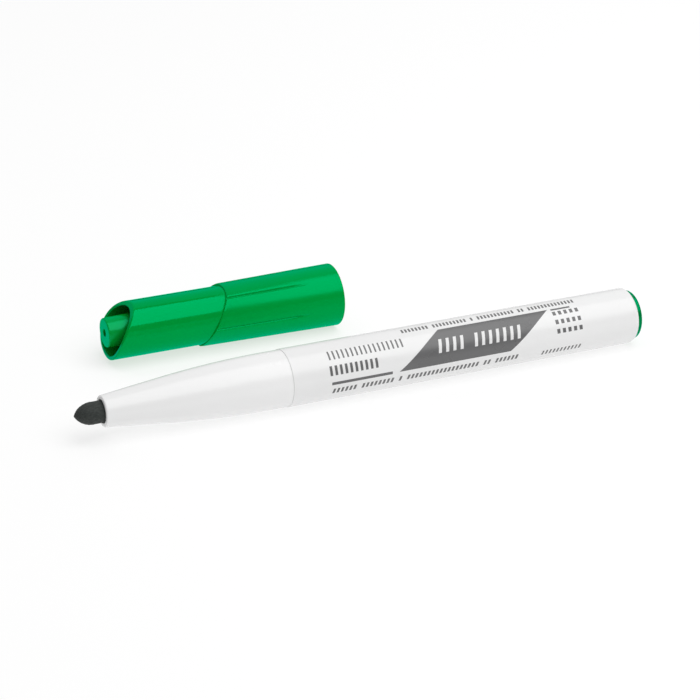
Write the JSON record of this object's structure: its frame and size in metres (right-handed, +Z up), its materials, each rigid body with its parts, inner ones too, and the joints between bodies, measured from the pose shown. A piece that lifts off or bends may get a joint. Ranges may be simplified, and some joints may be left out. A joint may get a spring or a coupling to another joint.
{
  "type": "whiteboard marker",
  "caption": "Slim round whiteboard marker with a tapered nose and fibre nib, lying uncapped beside its vented push-on cap.",
  "frame": {"origin": "on the surface the marker and cap lie on, under the centre of their common box", "axes": "+X along the marker's axis from the writing end to the end plug, +Z up, the cap lies on the +Y side"},
  "size_m": [0.1318, 0.0514, 0.0143],
  "materials": {
    "body_white": "smooth moulded polypropylene, satin gloss",
    "cap_green": "smooth moulded polypropylene, glossy",
    "print_grey": "printed ink, as glossy as the barrel under it",
    "nib_fibre": "pressed polyester fibre, matte, ink-soaked",
    "reservoir_fibre": "bundled polyester fibre, ink-soaked",
    "clear_film": "thin wrap film"
  },
  "bodies": {
    "marker": {"barrel": "body_white", "nose_section": "body_white", "nib": "nib_fibre", "ink_reservoir": "reservoir_fibre", "reservoir_film": "clear_film", "end_plug": "cap_green"},
    "cap": {"cap_sleeve": "cap_green", "cap_inner_seal": "cap_green"}
  },
  "joints": [
    {"name": "cap_slide", "type": "slide", "parent": "marker", "child": "cap", "axis": [-1, 0, 0], "range_m": [0, 0.077]}
  ]
}
